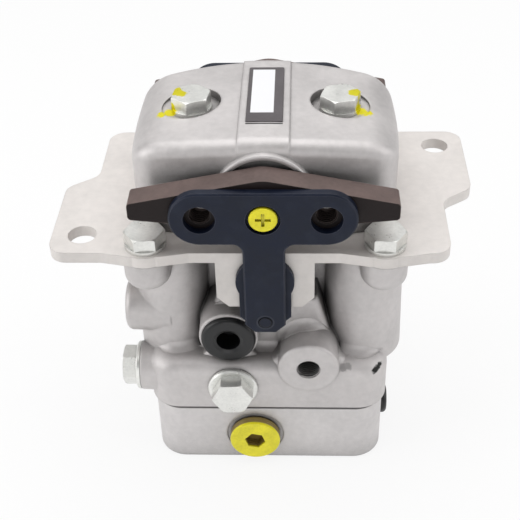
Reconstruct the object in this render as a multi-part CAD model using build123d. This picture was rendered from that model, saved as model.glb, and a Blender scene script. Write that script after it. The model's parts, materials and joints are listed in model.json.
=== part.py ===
"""Foot pilot valve for two pedals, built up piece by piece.

Millimetres, +Z up.  The origin is the middle of the underside of the port
block.  Both pedal shafts lie along Y, one to the front (-Y) and one to the
rear (+Y); the rear end carries the same pieces turned half a turn about Z.
"""
import os
from collections import namedtuple
from math import acos, asin, cos, radians, sin

from build123d import *

# Heights of the stacked bodies
base_height = 39.0
casing_height = 99.0
plate_thickness = 6.0
gasket_thickness = 0.5
axis_above_plate = 25.5
crown_above_axis = 28.0

# Port block and casing plan sizes
base_width = 125.6
base_depth = 118.6
base_bottom_radius = 1.5
casing_width = 129.0
corner_radius = 16.0
seam_chamfer = 0.7
shoulder_height = 31.0
shoulder_radius = 9.0
side_wall_inset = 0.5
core_half_depth = 24.0

# Valve bores, one per corner, each in a cast column that widens towards its foot
bore_x = 51.0
bore_y = 26.0
column_radius = 19.5
left_foot_radius = 19.0
right_foot_radius = 21.5
foot_rounding = 2.5
bushing_radius = 13.0
bushing_length = 20.0
chamber_radius = 10.5
chamber_floor_above_base = 35.0
spool_radius = 4.5
spool_bottom_gap = 3.0

# O-rings between port block and casing
seal_ring_radius = 6.5
seal_wire = 1.2
seal_groove_play = 0.3
seal_groove_depth = 2.45

# Pads between the columns
pad_front = 43.5
pad_top_half = 26.5
pad_bottom_half = 39.0
pad_top_above_base = 65.0
pad_edge_radius = 3.5

# Round bosses: place across, height above the block, reach past the wall, draft and rounding
Boss = namedtuple("Boss", "across height reach radius flare edge")
capped_port = Boss(across=-20.1, height=46.7, reach=-5.3, radius=15.6, flare=0.6, edge=1.2)
open_port = Boss(across=21.9, height=30.4, reach=1.5, radius=16.2, flare=0.6, edge=1.6)
side_port = Boss(across=-31.0, height=50.8, reach=11.0, radius=14.0, flare=0.6, edge=3.5)
side_plug_seat = Boss(across=-40.5, height=14.5, reach=5.3, radius=13.5, flare=1.0, edge=0.8)
front_plug_across = -18.6
front_plug_height = 16.0
port_thread_radius = 6.25
port_depth = 14.0
side_port_depth = 12.5
port_drill_radius = 4.0
port_drill_depth = 26.0
output_port_depth = 12.0
port_passage_radius = 3.0
cap_bore_radius = 8.2
cap_bore_depth = 16.0

# Mounting plate outline
plate_half_depth = 57.2
ear_half_width = 107.35
narrow_half_width = 91.3
step_inner = 11.9
step_outer = 0.45
plate_corner = 9.0
mount_hole_x = 92.0
mount_hole_y = 42.0
mount_hole_radius = 7.25
lobe_flank_half = 24.0
lobe_flank_top_half = 7.0
lobe_flank_reach = 10.3

# Damper tabs folded down from the plate
tab_half_width = 24.6
tab_drop = 28.0
tab_chamfer = 6.0

# Bolts and small-series washers (M12)
bolt_radius = 6.0
bolt_hole_clearance = 0.4
bolt_head_flats = 18.0
bolt_head_height = 6.6
bolt_head_chamfer = 0.9
bolt_chamfer_slope = 1.7
washer_radius = 10.2
washer_thickness = 2.0
washer_play = 0.25
plate_bolt_x = 59.15
plate_bolt_y = 50.0
plate_bolt_boss = 11.8
plate_bolt_boss_height = 17.0
plate_bolt_boss_rounding = 7.0
plate_bolt_length = 15.0
left_plate_bolt_turn = 6.0
right_plate_bolt_turn = -5.0
housing_bolt_x = 37.3
housing_bolt_engagement = 22.0
left_housing_bolt_turn = 22.0
right_housing_bolt_turn = 13.0
thread_end_gap = 1.0

# Socket screws between port block and casing (M8)
base_screw_x = 27.0
base_screw_y = 44.0
base_screw_radius = 4.0
base_screw_clearance = 0.4
base_screw_head_radius = 6.5
base_screw_head_play = 0.7
base_screw_head_sink = 1.0
base_screw_seat = 9.0
base_screw_socket_flats = 6.0
base_screw_socket_depth = 4.0
base_screw_engagement = 13.0

# Upper housing
housing_half_width = 66.5
housing_half_depth = 44.2
housing_bow = 300.0
housing_end_bow = 280.0
crown_radius = 295.0
crown_end_radius = 24.0
crown_end_span = 16.5
housing_corner = 14.0
housing_edge = 6.5
housing_wall = 6.0
cavity_corner = 5.0
cavity_edge = 4.0
hub_headroom = 2.0
band_half_width = 12.4
band_height = 1.0
spotface_radius = 15.0
spotface_depth = 5.6
bolt_pillar_radius = 10.0
web_half = 8.0
shaft_boss_radius = 24.0
shaft_boss_reach = 3.1
shaft_boss_rim = 2.4
shaft_boss_recess = 2.5
shaft_boss_edge = 1.0
shaft_boss_root = 8.0
inner_boss_radius = 15.0
inner_boss_reach = 33.5

# Name plate on the crown
name_plate_width = 17.8
name_plate_length = 55.3
name_plate_shift = 3.2
name_plate_thickness = 0.8
name_plate_sink = 0.5
name_plate_corner = 0.8
name_plate_play = 0.15

# Pedal shafts and what they carry
shaft_radius = 8.0
shaft_chamfer = 0.8
bush_radius = 11.0
web_bush_gap = 1.2
web_hole_play = 1.0
seal_radius = 14.0
seal_length = 5.0
seal_back_gap = 0.1
shaft_end_gap = 1.0
rocker_hub_radius = 14.0
rocker_hub_gap = 0.5
rocker_arm_depth = 10.0
rocker_root_radius = 7.5
rocker_tip_radius = 4.5
rocker_pad_radius = 6.0
rocker_pad_drop = 5.5
rocker_pad_gap = 0.25
rocker_pin_radius = 2.5
rocker_pin_from_web = 4.5
rocker_pin_sink = 0.5

# Wing lever and pedal arm
lever_back_gap = 1.0
lever_depth = 12.7
lever_hub_radius = 19.0
wing_tip = 64.3
wing_tip_top = 6.1
wing_tip_bottom = -2.8
wing_tip_rounding = 2.0
wing_root_drop = 9.5
lever_thread_radius = 5.1
lever_boss_radius = 11.0
arm_thickness = 4.5
arm_hole_spacing = 60.0
arm_bar_width = 29.3
arm_hole_radius = 7.6
arm_stem_width = 20.5
arm_stem_end = 7.1
arm_stem_chamfer = 5.0
arm_root_fillet = 5.0
arm_edge_chamfer = 0.8
arm_recess_radius = 8.3
arm_recess_depth = 2.6
arm_screw_radius = 4.0
arm_screw_head_radius = 7.0
arm_screw_head_sink = 0.2
arm_screw_head_rounding = 0.9
arm_screw_length = 18.0
cross_length = 7.4
cross_width = 1.5
cross_depth = 1.8
pin_radius = 3.2
pin_head_height = 0.3

# Rotary damper
damper_below_plate = 10.0
damper_crank = 21.5
damper_hub_radius = 14.6
damper_arm_half = 13.0
damper_arm_reach = 27.0
damper_arm_chamfer = 5.0
damper_arm_thickness = 3.0
damper_slot_start = 15.5
damper_slot_clearance = 0.7
damper_body_radius = 15.5
damper_body_depth = 15.0
damper_body_chamfer = 1.0
damper_shaft_radius = 5.0
damper_shaft_depth = 9.0
damper_bore_depth = 10.0
damper_screw_spread = 8.0
damper_screw_drop = 7.0
damper_screw_radius = 2.0
damper_screw_head = 3.4
damper_screw_length = 13.5
damper_screw_bore = 8.0

# Pushers, springs and spools
pusher_radius = 7.0
pusher_edge = 1.0
pusher_stroke = 10.3
pusher_bore_radius = 4.6
pusher_bore_spare = 2.0
pusher_plate_play = 1.5
retainer_radius = 9.6
retainer_thickness = 3.4
bushing_groove_depth = 1.6
bushing_groove_height = 6.0
bushing_groove_width = 2.6
wiper_width = 3.0
wiper_height = 4.0
wiper_sink = 0.1
return_wire = 2.0
return_turns = 6
metering_wire = 1.3
metering_turns = 8
spring_gap = 0.3
spool_collar_radius = 6.2
spool_collar_lift = 3.0
spool_collar_height = 2.0
spool_stem_radius = 3.0
spool_stem_lift = 18.0
spool_head_radius = 4.2
spool_head_height = 3.0
spool_waist_radius = 3.2
spool_waist_height = 6.0
spool_waists = (7.0, 19.0)

# Hex flange plugs, yellow socket plug and rubber caps
plug_flange_radius = 13.3
plug_flange_thickness = 2.2
plug_flange_chamfer = 0.7
plug_hex_flats = 19.0
plug_hex_height = 7.5
plug_hex_turn = 3.0
plug_shank_radius = 8.0
plug_shank_length = 10.0
gallery_x = -7.4
gallery_height = 19.1
gallery_head_radius = 13.8
gallery_head_height = 6.2
gallery_head_chamfer = 0.6
gallery_neck_radius = 12.2
gallery_neck_length = 1.3
gallery_spotface_radius = 15.75
gallery_spotface_depth = 0.5
gallery_thread_radius = 10.0
gallery_thread_length = 14.0
gallery_socket_flats = 10.0
gallery_socket_depth = 6.0
gallery_socket_turn = 12.0
shuttle_radius = 7.0
shuttle_end = 34.0
shuttle_waist_radius = 4.5
shuttle_waist_half = 6.0
shuttle_waists = (-18.0, 12.0)
cap_flange_radius = 14.3
cap_flange_thickness = 3.3
cap_flange_rounding = 2.3
cap_stem_length = 12.0
cap_hole_radius = 6.2
cap_hole_depth = 10.0
cap_mouth_radius = 8.0
cap_mouth_depth = 0.9
side_cap_y = -31.0
side_cap_radius = 8.5
side_cap_height = 4.0
side_cap_rounding = 2.5
side_cap_stem = 7.5
side_cap_bore = 8.0

# Clearances; a cut runs past its face by the overrun
press_gap = 0.02
running_gap = 0.05
loose_gap = 0.3
overrun = 1.0

# Places worked out from the sizes above
front_face = base_depth / 2
left_face = casing_width / 2
side_wall = left_face - side_wall_inset
casing_top = base_height + casing_height
shoulder_top = base_height + shoulder_height
column_foot = shoulder_top - shoulder_radius
plate_top = casing_top + plate_thickness
housing_floor = plate_top + gasket_thickness
axis_z = plate_top + axis_above_plate
housing_top = axis_z + crown_above_axis
cavity_top = axis_z + rocker_hub_radius + hub_headroom
spotface_z = housing_top - spotface_depth
chamber_floor = base_height + chamber_floor_above_base
boss_face_y = housing_half_depth + shaft_boss_reach
boss_recess_y = boss_face_y - shaft_boss_recess
lever_back_y = boss_face_y + lever_back_gap
lever_front_y = lever_back_y + lever_depth
arm_front_y = lever_front_y + arm_thickness
tab_back_y = plate_half_depth - plate_thickness
damper_z = casing_top - damper_below_plate
pin_z = damper_z - damper_crank
damper_screw_z = damper_z - damper_screw_drop
rocker_pin_y = -web_half - rocker_pin_from_web
pusher_top = axis_z - rocker_pad_drop - rocker_pad_radius - rocker_pad_gap
bushing_floor = casing_top - bushing_length
retainer_top = bushing_floor - pusher_stroke - loose_gap
retainer_bottom = retainer_top - retainer_thickness
spool_collar_floor = chamber_floor + spool_collar_lift
spool_collar_top = spool_collar_floor + spool_collar_height
spool_head_top = retainer_bottom + spool_stem_lift
corners = [(sx * bore_x, sy * bore_y) for sy in (-1, 1) for sx in (-1, 1)]
plate_bolt_places = [(sx * plate_bolt_x, sy * plate_bolt_y) for sx in (-1, 1) for sy in (-1, 1)]
housing_bolt_places = [(-housing_bolt_x, 0.0), (housing_bolt_x, 0.0)]
base_screw_places = [(sx * base_screw_x, sy * base_screw_y) for sx in (-1, 1) for sy in (-1, 1)]


def rod(x, y, radius, low, high):
    """Upright cylinder from one height to another."""
    return Pos(x, y, (low + high) / 2) * Cylinder(radius, high - low)


def rod_y(x, z, radius, start, end):
    """Cylinder along Y."""
    return Pos(x, (start + end) / 2, z) * Rot(90, 0, 0) * Cylinder(radius, abs(end - start))


def rod_x(y, z, radius, start, end):
    """Cylinder along X."""
    return Pos((start + end) / 2, y, z) * Rot(0, 90, 0) * Cylinder(radius, abs(end - start))


def block(x0, x1, y0, y1, z0, z1):
    """Box between two corners."""
    middle = Pos((x0 + x1) / 2, (y0 + y1) / 2, (z0 + z1) / 2)
    return middle * Box(abs(x1 - x0), abs(y1 - y0), abs(z1 - z0))


def slab_y(profile, start, end):
    """Extrude a profile drawn in X and Z from one Y to another."""
    # The XZ plane faces -Y, so the profile keeps X to the right and Z up
    plane = Plane((0, max(start, end), 0), x_dir=(1, 0, 0), z_dir=(0, -1, 0))
    return extrude(plane * profile, abs(end - start), dir=(0, -1, 0))


def hexagon(flats, turn=0.0):
    """Hexagon with the given width across flats."""
    return Rot(0, 0, turn) * RegularPolygon(flats / 2, 6, major_radius=False)


def to_rear(shape):
    """The same piece at the rear end of the valve."""
    return Rot(0, 0, 180) * shape


def ring(x, y, outer, inner, low, high):
    """Upright ring."""
    return rod(x, y, outer, low, high) - rod(x, y, inner, low - overrun, high + overrun)


def ring_y(z, outer, inner, start, end):
    """Ring around an axis along Y at x = 0."""
    return rod_y(0, z, outer, start, end) - rod_y(0, z, inner, start - overrun, end + overrun)


def end_circles(shape, axis, which):
    """Circular edges at one end of a shape: 0 for the low end of the axis, -1 for the high end."""
    return shape.edges().filter_by(GeomType.CIRCLE).group_by(axis)[which]


def output_passages():
    """Threaded output port under each spool and the way up to it."""
    holes = []
    for x, y in corners:
        holes.append(rod(x, y, port_thread_radius, -overrun, output_port_depth))
        holes.append(rod(x, y, port_passage_radius, output_port_depth - overrun, base_height + overrun))
    return holes


def base_block():
    """Port block with output ports below and the shuttle bore from the front."""
    body = extrude(RectangleRounded(base_width, base_depth, corner_radius), base_height)
    body = fillet(body.faces().sort_by(Axis.Z)[0].edges(), base_bottom_radius)
    body = chamfer(body.faces().sort_by(Axis.Z)[-1].edges(), seam_chamfer)
    cuts = output_passages()
    groove_half = seal_wire + seal_groove_play
    for x, y in corners:
        cuts.append(ring(x, y, seal_ring_radius + groove_half, seal_ring_radius - groove_half,
                         base_height - seal_groove_depth, base_height + overrun))
    for x, y in base_screw_places:
        cuts.append(rod(x, y, base_screw_radius + base_screw_clearance, -overrun, base_height + overrun))
        cuts.append(rod(x, y, base_screw_head_radius + base_screw_head_play, -overrun, base_screw_seat))
    seat = -front_face + gallery_spotface_depth
    thread_end = seat + gallery_thread_length + overrun
    for radius, start, end in ((gallery_spotface_radius, -front_face - overrun, seat),
                               (gallery_thread_radius + press_gap, -front_face - overrun, thread_end),
                               (shuttle_radius + running_gap, thread_end - overrun, shuttle_end)):
        cuts.append(rod_y(gallery_x, gallery_height, radius, start, end))
    side = base_width / 2
    cuts.append(rod_x(side_cap_y, base_height / 2, port_thread_radius, side - side_cap_bore, side + overrun))
    return body - cuts


def base_screws():
    """Socket screws that pull the port block up against the casing."""
    screws = []
    for x, y in base_screw_places:
        head = rod(x, y, base_screw_head_radius, base_screw_head_sink, base_screw_seat)
        socket = extrude(hexagon(base_screw_socket_flats), base_screw_socket_depth)
        shank = rod(x, y, base_screw_radius, base_screw_seat, base_height + base_screw_engagement)
        screws.append(head - Pos(x, y, base_screw_head_sink) * socket + shank)
    return screws


def base_seals():
    """O-rings round the four passages, flush with the top of the block."""
    height = base_height - seal_wire - press_gap
    return [Pos(x, y, height) * Torus(seal_ring_radius, seal_wire) for x, y in corners]


def socket_plug():
    """Round-headed socket plug of the shuttle bore, with a seal neck behind its head."""
    seat = -front_face + gallery_spotface_depth
    face = seat - gallery_head_height
    head = rod_y(gallery_x, gallery_height, gallery_head_radius, face, seat - gallery_neck_length)
    head = chamfer(end_circles(head, Axis.Y, 0), gallery_head_chamfer)
    neck = rod_y(gallery_x, gallery_height, gallery_neck_radius, seat - gallery_neck_length, seat)
    shank = rod_y(gallery_x, gallery_height, gallery_thread_radius, seat, seat + gallery_thread_length)
    plane = Plane((gallery_x, face, gallery_height), x_dir=(1, 0, 0), z_dir=(0, 1, 0))
    socket = extrude(plane * hexagon(gallery_socket_flats, gallery_socket_turn), gallery_socket_depth)
    return head + neck + shank - socket


def shuttle_spool():
    """Shuttle in the port block, with two waists between its lands."""
    start = -front_face + gallery_spotface_depth + gallery_thread_length + overrun + loose_gap
    body = rod_y(gallery_x, gallery_height, shuttle_radius, start, shuttle_end - loose_gap)
    for middle in shuttle_waists:
        low, high = middle - shuttle_waist_half, middle + shuttle_waist_half
        sleeve = rod_y(gallery_x, gallery_height, shuttle_radius + overrun, low, high)
        body = body - (sleeve - rod_y(gallery_x, gallery_height, shuttle_waist_radius, low, high))
    return body


def column(x, y):
    """Round column of one valve bore, widening downwards to a rounded foot."""
    foot = right_foot_radius if x > 0 else left_foot_radius
    body = Pos(x, y, (column_foot + casing_top) / 2) * Cone(foot, column_radius, casing_top - column_foot)
    return fillet(end_circles(body, Axis.Z, 0), foot_rounding)


def port_pad():
    """Tapering pad between two columns; the bosses stand on it."""
    top = base_height + pad_top_above_base
    low = column_foot + overrun
    outline = Polygon((-pad_top_half, top), (pad_top_half, top), (pad_bottom_half, low),
                      (-pad_bottom_half, low), align=None)
    pad = slab_y(outline, -pad_front, -core_half_depth + overrun)
    front_edges = pad.faces().sort_by(Axis.Y)[0].edges().sort_by(Axis.Z)[1:]
    return fillet(front_edges, pad_edge_radius)


def bolt_boss():
    """Boss below one corner bolt of the plate, run into its column and rounded below."""
    reach = plate_bolt_y - bore_y
    outline = Pos(0, reach / 2) * Rot(0, 0, 90) * SlotCenterToCenter(reach, 2 * plate_bolt_boss)
    boss = Pos(0, 0, casing_top - plate_bolt_boss_height) * extrude(outline, plate_bolt_boss_height)
    return fillet(boss.faces().sort_by(Axis.Z)[0].edges(), plate_bolt_boss_rounding)


def boss_y(boss):
    """Round boss facing the front, with draft and a broken edge."""
    face = -front_face - boss.reach
    length = -core_half_depth - face
    place = Pos(boss.across, face + length / 2, base_height + boss.height)
    body = place * Rot(-90, 0, 0) * Cone(boss.radius, boss.radius + boss.flare, length)
    return fillet(end_circles(body, Axis.Y, 0), boss.edge)


def boss_x(boss):
    """Round boss facing left, with draft and a broken edge."""
    face = -left_face - boss.reach
    length = -bore_x - face
    place = Pos(face + length / 2, boss.across, base_height + boss.height)
    body = place * Rot(0, 90, 0) * Cone(boss.radius, boss.radius + boss.flare, length)
    return fillet(end_circles(body, Axis.X, 0), boss.edge)


def valve_casing():
    """Cast casing: shoulder, four columns, bosses and the valve bores."""
    lower = extrude(RectangleRounded(casing_width, base_depth, corner_radius), shoulder_height)
    lower = fillet(lower.faces().sort_by(Axis.Z)[-1].edges(), shoulder_radius)
    lower = chamfer(lower.faces().sort_by(Axis.Z)[0].edges(), seam_chamfer)
    body = Pos(0, 0, base_height) * lower
    body += block(-side_wall, side_wall, -bore_y, bore_y, column_foot, casing_top)
    body += block(-bore_x, bore_x, -core_half_depth, core_half_depth, column_foot, casing_top)
    for x, y in corners:
        body += column(x, y)
    for x, y in plate_bolt_places:
        body += Pos(x, y, 0) * Rot(0, 0, 180 if y > 0 else 0) * bolt_boss()
    body += port_pad()
    body += to_rear(port_pad())
    body += boss_y(capped_port)
    body += boss_y(open_port)
    body += boss_x(side_port)
    body += boss_x(side_plug_seat)
    return body - casing_bores() - port_bores()


def casing_bores():
    """Bores of the valves and threads of all screws, along Z."""
    cuts = []
    for x, y in corners:
        cuts.append(rod(x, y, bushing_radius + press_gap, bushing_floor, casing_top + overrun))
        cuts.append(rod(x, y, chamber_radius, chamber_floor, bushing_floor + overrun))
        cuts.append(rod(x, y, spool_radius + running_gap, base_height - overrun, chamber_floor + overrun))
    for x, y in plate_bolt_places:
        cuts.append(rod(x, y, bolt_radius + press_gap, casing_top - plate_bolt_length, casing_top + overrun))
    for x, y in housing_bolt_places:
        low = casing_top - housing_bolt_engagement - thread_end_gap
        cuts.append(rod(x, y, bolt_radius + press_gap, low, casing_top + overrun))
    for x, y in base_screw_places:
        high = base_height + base_screw_engagement + thread_end_gap
        cuts.append(rod(x, y, base_screw_radius + press_gap, base_height - overrun, high))
    return cuts


def port_bores():
    """Ports and plug threads, in from the front and from the left."""
    cuts = []
    face = -front_face - capped_port.reach
    z = base_height + capped_port.height
    cuts.append(rod_y(capped_port.across, z, cap_bore_radius, face - overrun, face + cap_bore_depth))
    face = -front_face - open_port.reach
    z = base_height + open_port.height
    cuts.append(rod_y(open_port.across, z, port_thread_radius, face - overrun, face + port_depth))
    cuts.append(rod_y(open_port.across, z, port_drill_radius, face + port_depth - overrun,
                      face + port_drill_depth))
    face = -left_face - side_port.reach
    z = base_height + side_port.height
    cuts.append(rod_x(side_port.across, z, port_thread_radius, face - overrun, face + side_port_depth))
    plug_bore = plug_shank_length + thread_end_gap
    face = -left_face - side_plug_seat.reach
    z = base_height + side_plug_seat.height
    cuts.append(rod_x(side_plug_seat.across, z, plug_shank_radius + press_gap, face - overrun, face + plug_bore))
    cuts.append(rod_y(front_plug_across, base_height + front_plug_height, plug_shank_radius + press_gap,
                      -front_face - overrun, -front_face + plug_bore))
    return cuts


def crowned_hexagon(flats, height, turn, chamfer_width):
    """Hexagon standing on z = 0 whose corners a cone takes off at the free end."""
    reach = flats / 2 / cos(radians(30))
    cone = Pos(0, 0, height / 2) * Cone(reach + height * bolt_chamfer_slope, reach - chamfer_width, height)
    return extrude(hexagon(flats, turn), height) & cone


def flange_plug():
    """Hexagon plug with a round flange, drawn along +Z from its seat."""
    flange = rod(0, 0, plug_flange_radius, 0, plug_flange_thickness)
    flange = chamfer(end_circles(flange, Axis.Z, -1), plug_flange_chamfer)
    head = crowned_hexagon(plug_hex_flats, plug_hex_height, plug_hex_turn, bolt_head_chamfer)
    return flange + Pos(0, 0, plug_flange_thickness) * head + rod(0, 0, plug_shank_radius, -plug_shank_length, 0)


def front_hex_plug():
    place = (front_plug_across, -front_face, base_height + front_plug_height)
    return Plane(place, x_dir=(1, 0, 0), z_dir=(0, -1, 0)) * flange_plug()


def side_hex_plug():
    place = (-left_face - side_plug_seat.reach, side_plug_seat.across, base_height + side_plug_seat.height)
    return Plane(place, x_dir=(0, -1, 0), z_dir=(-1, 0, 0)) * flange_plug()


def front_port_cap():
    """Rubber cap: a flange on the boss and a hollow stem in the port, dished round its hole."""
    x = capped_port.across
    z = base_height + capped_port.height
    seat = -front_face - capped_port.reach
    face = seat - cap_flange_thickness
    flange = rod_y(x, z, cap_flange_radius, face, seat)
    flange = fillet(end_circles(flange, Axis.Y, 0), cap_flange_rounding)
    stem = rod_y(x, z, cap_bore_radius - 2 * running_gap, seat, seat + cap_stem_length)
    hole = rod_y(x, z, cap_hole_radius, face - overrun, seat + cap_hole_depth)
    dish = Pos(x, face + cap_mouth_depth / 2, z) * Rot(-90, 0, 0) * Cone(
        cap_mouth_radius, cap_hole_radius - press_gap, cap_mouth_depth)
    return flange + stem - hole - dish


def side_port_cap():
    """Rubber plug in the port on the right of the block."""
    side = base_width / 2
    z = base_height / 2
    dome = rod_x(side_cap_y, z, side_cap_radius, side, side + side_cap_height)
    dome = fillet(end_circles(dome, Axis.X, -1), side_cap_rounding)
    return dome + rod_x(side_cap_y, z, port_thread_radius - 2 * running_gap, side - side_cap_stem, side)


def plate_outline():
    """Plate seen from above: two wide ears at opposite corners and bolt lobes."""
    ear, narrow, depth = ear_half_width, narrow_half_width, plate_half_depth
    outline = Polygon((-ear, -depth), (narrow, -depth), (narrow, -step_inner), (ear, -step_outer),
                      (ear, depth), (-narrow, depth), (-narrow, step_inner), (-ear, step_outer), align=None)
    outline = fillet(outline.vertices(), plate_corner)
    for x, y in plate_bolt_places:
        # Flanks run from the lobe out to the straight edge at a shallow angle
        side = 1 if y > 0 else -1
        root = side * (depth - overrun / 2)
        crest = side * (plate_bolt_y + lobe_flank_reach)
        flank = Polygon((x - lobe_flank_half, root), (x - lobe_flank_top_half, crest),
                        (x + lobe_flank_top_half, crest), (x + lobe_flank_half, root), align=None)
        outline = outline + Pos(x, y) * Circle(plate_bolt_boss) + flank
    return outline


def damper_tab():
    """Tab folded down from the front edge of the plate."""
    low = casing_top - tab_drop
    outline = Polygon((-tab_half_width, plate_top), (tab_half_width, plate_top),
                      (tab_half_width, low + tab_chamfer), (tab_half_width - tab_chamfer, low),
                      (-tab_half_width + tab_chamfer, low), (-tab_half_width, low + tab_chamfer), align=None)
    return slab_y(outline, -plate_half_depth, -tab_back_y)


def tab_holes():
    """Holes of one tab for the damper shaft and its two countersunk screws."""
    front, back = -plate_half_depth - overrun, -tab_back_y + overrun
    holes = [rod_y(0, damper_z, damper_shaft_radius + loose_gap, front, back)]
    for x in (-damper_screw_spread, damper_screw_spread):
        holes.append(countersunk(x, damper_screw_z, press_gap, plate_thickness + overrun))
    return holes


def countersunk(x, z, gap, length):
    """Countersunk screw shape from the front face of the tab, made larger by a gap."""
    head_height = damper_screw_head - damper_screw_radius
    middle = -plate_half_depth + head_height / 2
    head = Pos(x, middle, z) * Rot(90, 0, 0) * Cone(
        damper_screw_radius + gap, damper_screw_head + gap, head_height)
    return head + rod_y(x, z, damper_screw_radius + gap, middle, -plate_half_depth + length)


def mounting_plate():
    """Steel plate between casing and housing, with a damper tab at each end."""
    plate = Pos(0, 0, casing_top) * extrude(plate_outline(), plate_thickness)
    plate = plate + damper_tab() + to_rear(damper_tab())
    low, high = casing_top - overrun, plate_top + overrun
    cuts = [rod(x, y, pusher_radius + pusher_plate_play, low, high) for x, y in corners]
    for x, y in plate_bolt_places + housing_bolt_places:
        cuts.append(rod(x, y, bolt_radius + bolt_hole_clearance, low, high))
    cuts.append(rod(-mount_hole_x, -mount_hole_y, mount_hole_radius, low, high))
    cuts.append(rod(mount_hole_x, mount_hole_y, mount_hole_radius, low, high))
    cuts += tab_holes()
    cuts += [to_rear(hole) for hole in tab_holes()]
    return plate - cuts


def hex_bolt(x, y, seat, length, turn):
    """Hexagon bolt with the underside of its head on the given seat."""
    head = crowned_hexagon(bolt_head_flats, bolt_head_height, turn, bolt_head_chamfer)
    return Pos(x, y, seat) * head + rod(x, y, bolt_radius, seat - length, seat)


def plate_bolts():
    """Four bolts through the plate into the casing bosses."""
    length = washer_thickness + plate_thickness + plate_bolt_length - thread_end_gap
    bolts = []
    for x, y in plate_bolt_places:
        turn = right_plate_bolt_turn if x > 0 else left_plate_bolt_turn
        bolts.append(hex_bolt(x, y, plate_top + washer_thickness, length, turn))
    return bolts


def housing_bolts():
    """Two long bolts through the housing and the plate into the casing."""
    seat = spotface_z + washer_thickness
    length = seat - casing_top + housing_bolt_engagement
    return [hex_bolt(-housing_bolt_x, 0, seat, length, left_housing_bolt_turn),
            hex_bolt(housing_bolt_x, 0, seat, length, right_housing_bolt_turn)]


def bolt_washers():
    """Plain washers under all six bolts."""
    washers = []
    for places, seat in ((plate_bolt_places, plate_top), (housing_bolt_places, spotface_z)):
        for x, y in places:
            washers.append(ring(x, y, washer_radius, bolt_radius + washer_play, seat, seat + washer_thickness))
    return washers


def bowed_plan(inset, corner):
    """Plan of the housing, all four sides bowed outwards, set in by a wall."""
    width = housing_half_width - inset
    depth = housing_half_depth - inset
    side_y = depth - housing_bow + (housing_bow ** 2 - width ** 2) ** 0.5
    side_x = width - housing_end_bow + (housing_end_bow ** 2 - side_y ** 2) ** 0.5
    front = ThreePointArc((-side_x, -side_y), (0, -depth), (side_x, -side_y))
    right = ThreePointArc((side_x, -side_y), (width, 0), (side_x, side_y))
    rear = ThreePointArc((side_x, side_y), (0, depth), (-side_x, side_y))
    left = ThreePointArc((-side_x, side_y), (-width, 0), (-side_x, -side_y))
    face = make_face([front, right, rear, left])
    return fillet(face.vertices(), corner)


def crown_section():
    """Cross-section under the crown: a flat arch that turns down more tightly at both ends."""
    knee_x = housing_half_width - crown_end_span
    lean = asin(knee_x / crown_radius)
    knee_z = housing_top - crown_radius * (1 - cos(lean))
    centre_x = knee_x - crown_end_radius * sin(lean)
    centre_z = knee_z - crown_end_radius * cos(lean)
    end_x = housing_half_width + overrun
    last = asin((end_x - centre_x) / crown_end_radius)
    middle = (lean + last) / 2
    middle_x = centre_x + crown_end_radius * sin(middle)
    middle_z = centre_z + crown_end_radius * cos(middle)
    end_z = centre_z + crown_end_radius * cos(last)
    arch = ThreePointArc((-knee_x, knee_z), (0, housing_top), (knee_x, knee_z))
    right = ThreePointArc((knee_x, knee_z), (middle_x, middle_z), (end_x, end_z))
    foot = Polyline((end_x, end_z), (end_x, housing_floor), (-end_x, housing_floor), (-end_x, end_z))
    left = ThreePointArc((-end_x, end_z), (-middle_x, middle_z), (-knee_x, knee_z))
    return make_face([arch, right, foot, left])


def crowned_block():
    """Outer form of the housing: bowed plan under an arched crown, edges rounded."""
    prism = Pos(0, 0, housing_floor) * extrude(bowed_plan(0, housing_corner), housing_top - housing_floor)
    reach = housing_half_depth + overrun
    body = prism & slab_y(crown_section(), -reach, reach)
    rim = [edge for edge in body.edges()
           if edge.geom_type != GeomType.LINE and edge.center().Z > axis_z]
    return fillet(rim, housing_edge)


def housing_cavity():
    """Oil-tight room for the rockers, split by the web that holds the inner bushes."""
    low = housing_floor - overrun
    room = Pos(0, 0, low) * extrude(bowed_plan(housing_wall, cavity_corner), cavity_top - low)
    room = fillet(room.faces().sort_by(Axis.Z)[-1].edges(), cavity_edge)
    room -= block(-housing_half_width, housing_half_width, -web_half, web_half, low - overrun, housing_top)
    for x, y in housing_bolt_places:
        room -= rod(x, y, bolt_pillar_radius, low - overrun, housing_top)
    for start, end in ((-housing_half_depth, -inner_boss_reach), (inner_boss_reach, housing_half_depth)):
        room -= rod_y(0, axis_z, inner_boss_radius, start, end)
    return room


def shaft_bosses():
    """Round boss at each end of the housing, with rounded rims."""
    boss = rod_y(0, axis_z, shaft_boss_radius, -boss_face_y, boss_face_y)
    inner = housing_half_depth - shaft_boss_root
    reach = shaft_boss_radius + overrun
    boss -= block(-reach, reach, -inner, inner, axis_z - reach, axis_z + reach)
    boss = fillet(end_circles(boss, Axis.Y, 0), shaft_boss_edge)
    return fillet(end_circles(boss, Axis.Y, -1), shaft_boss_edge)


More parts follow.
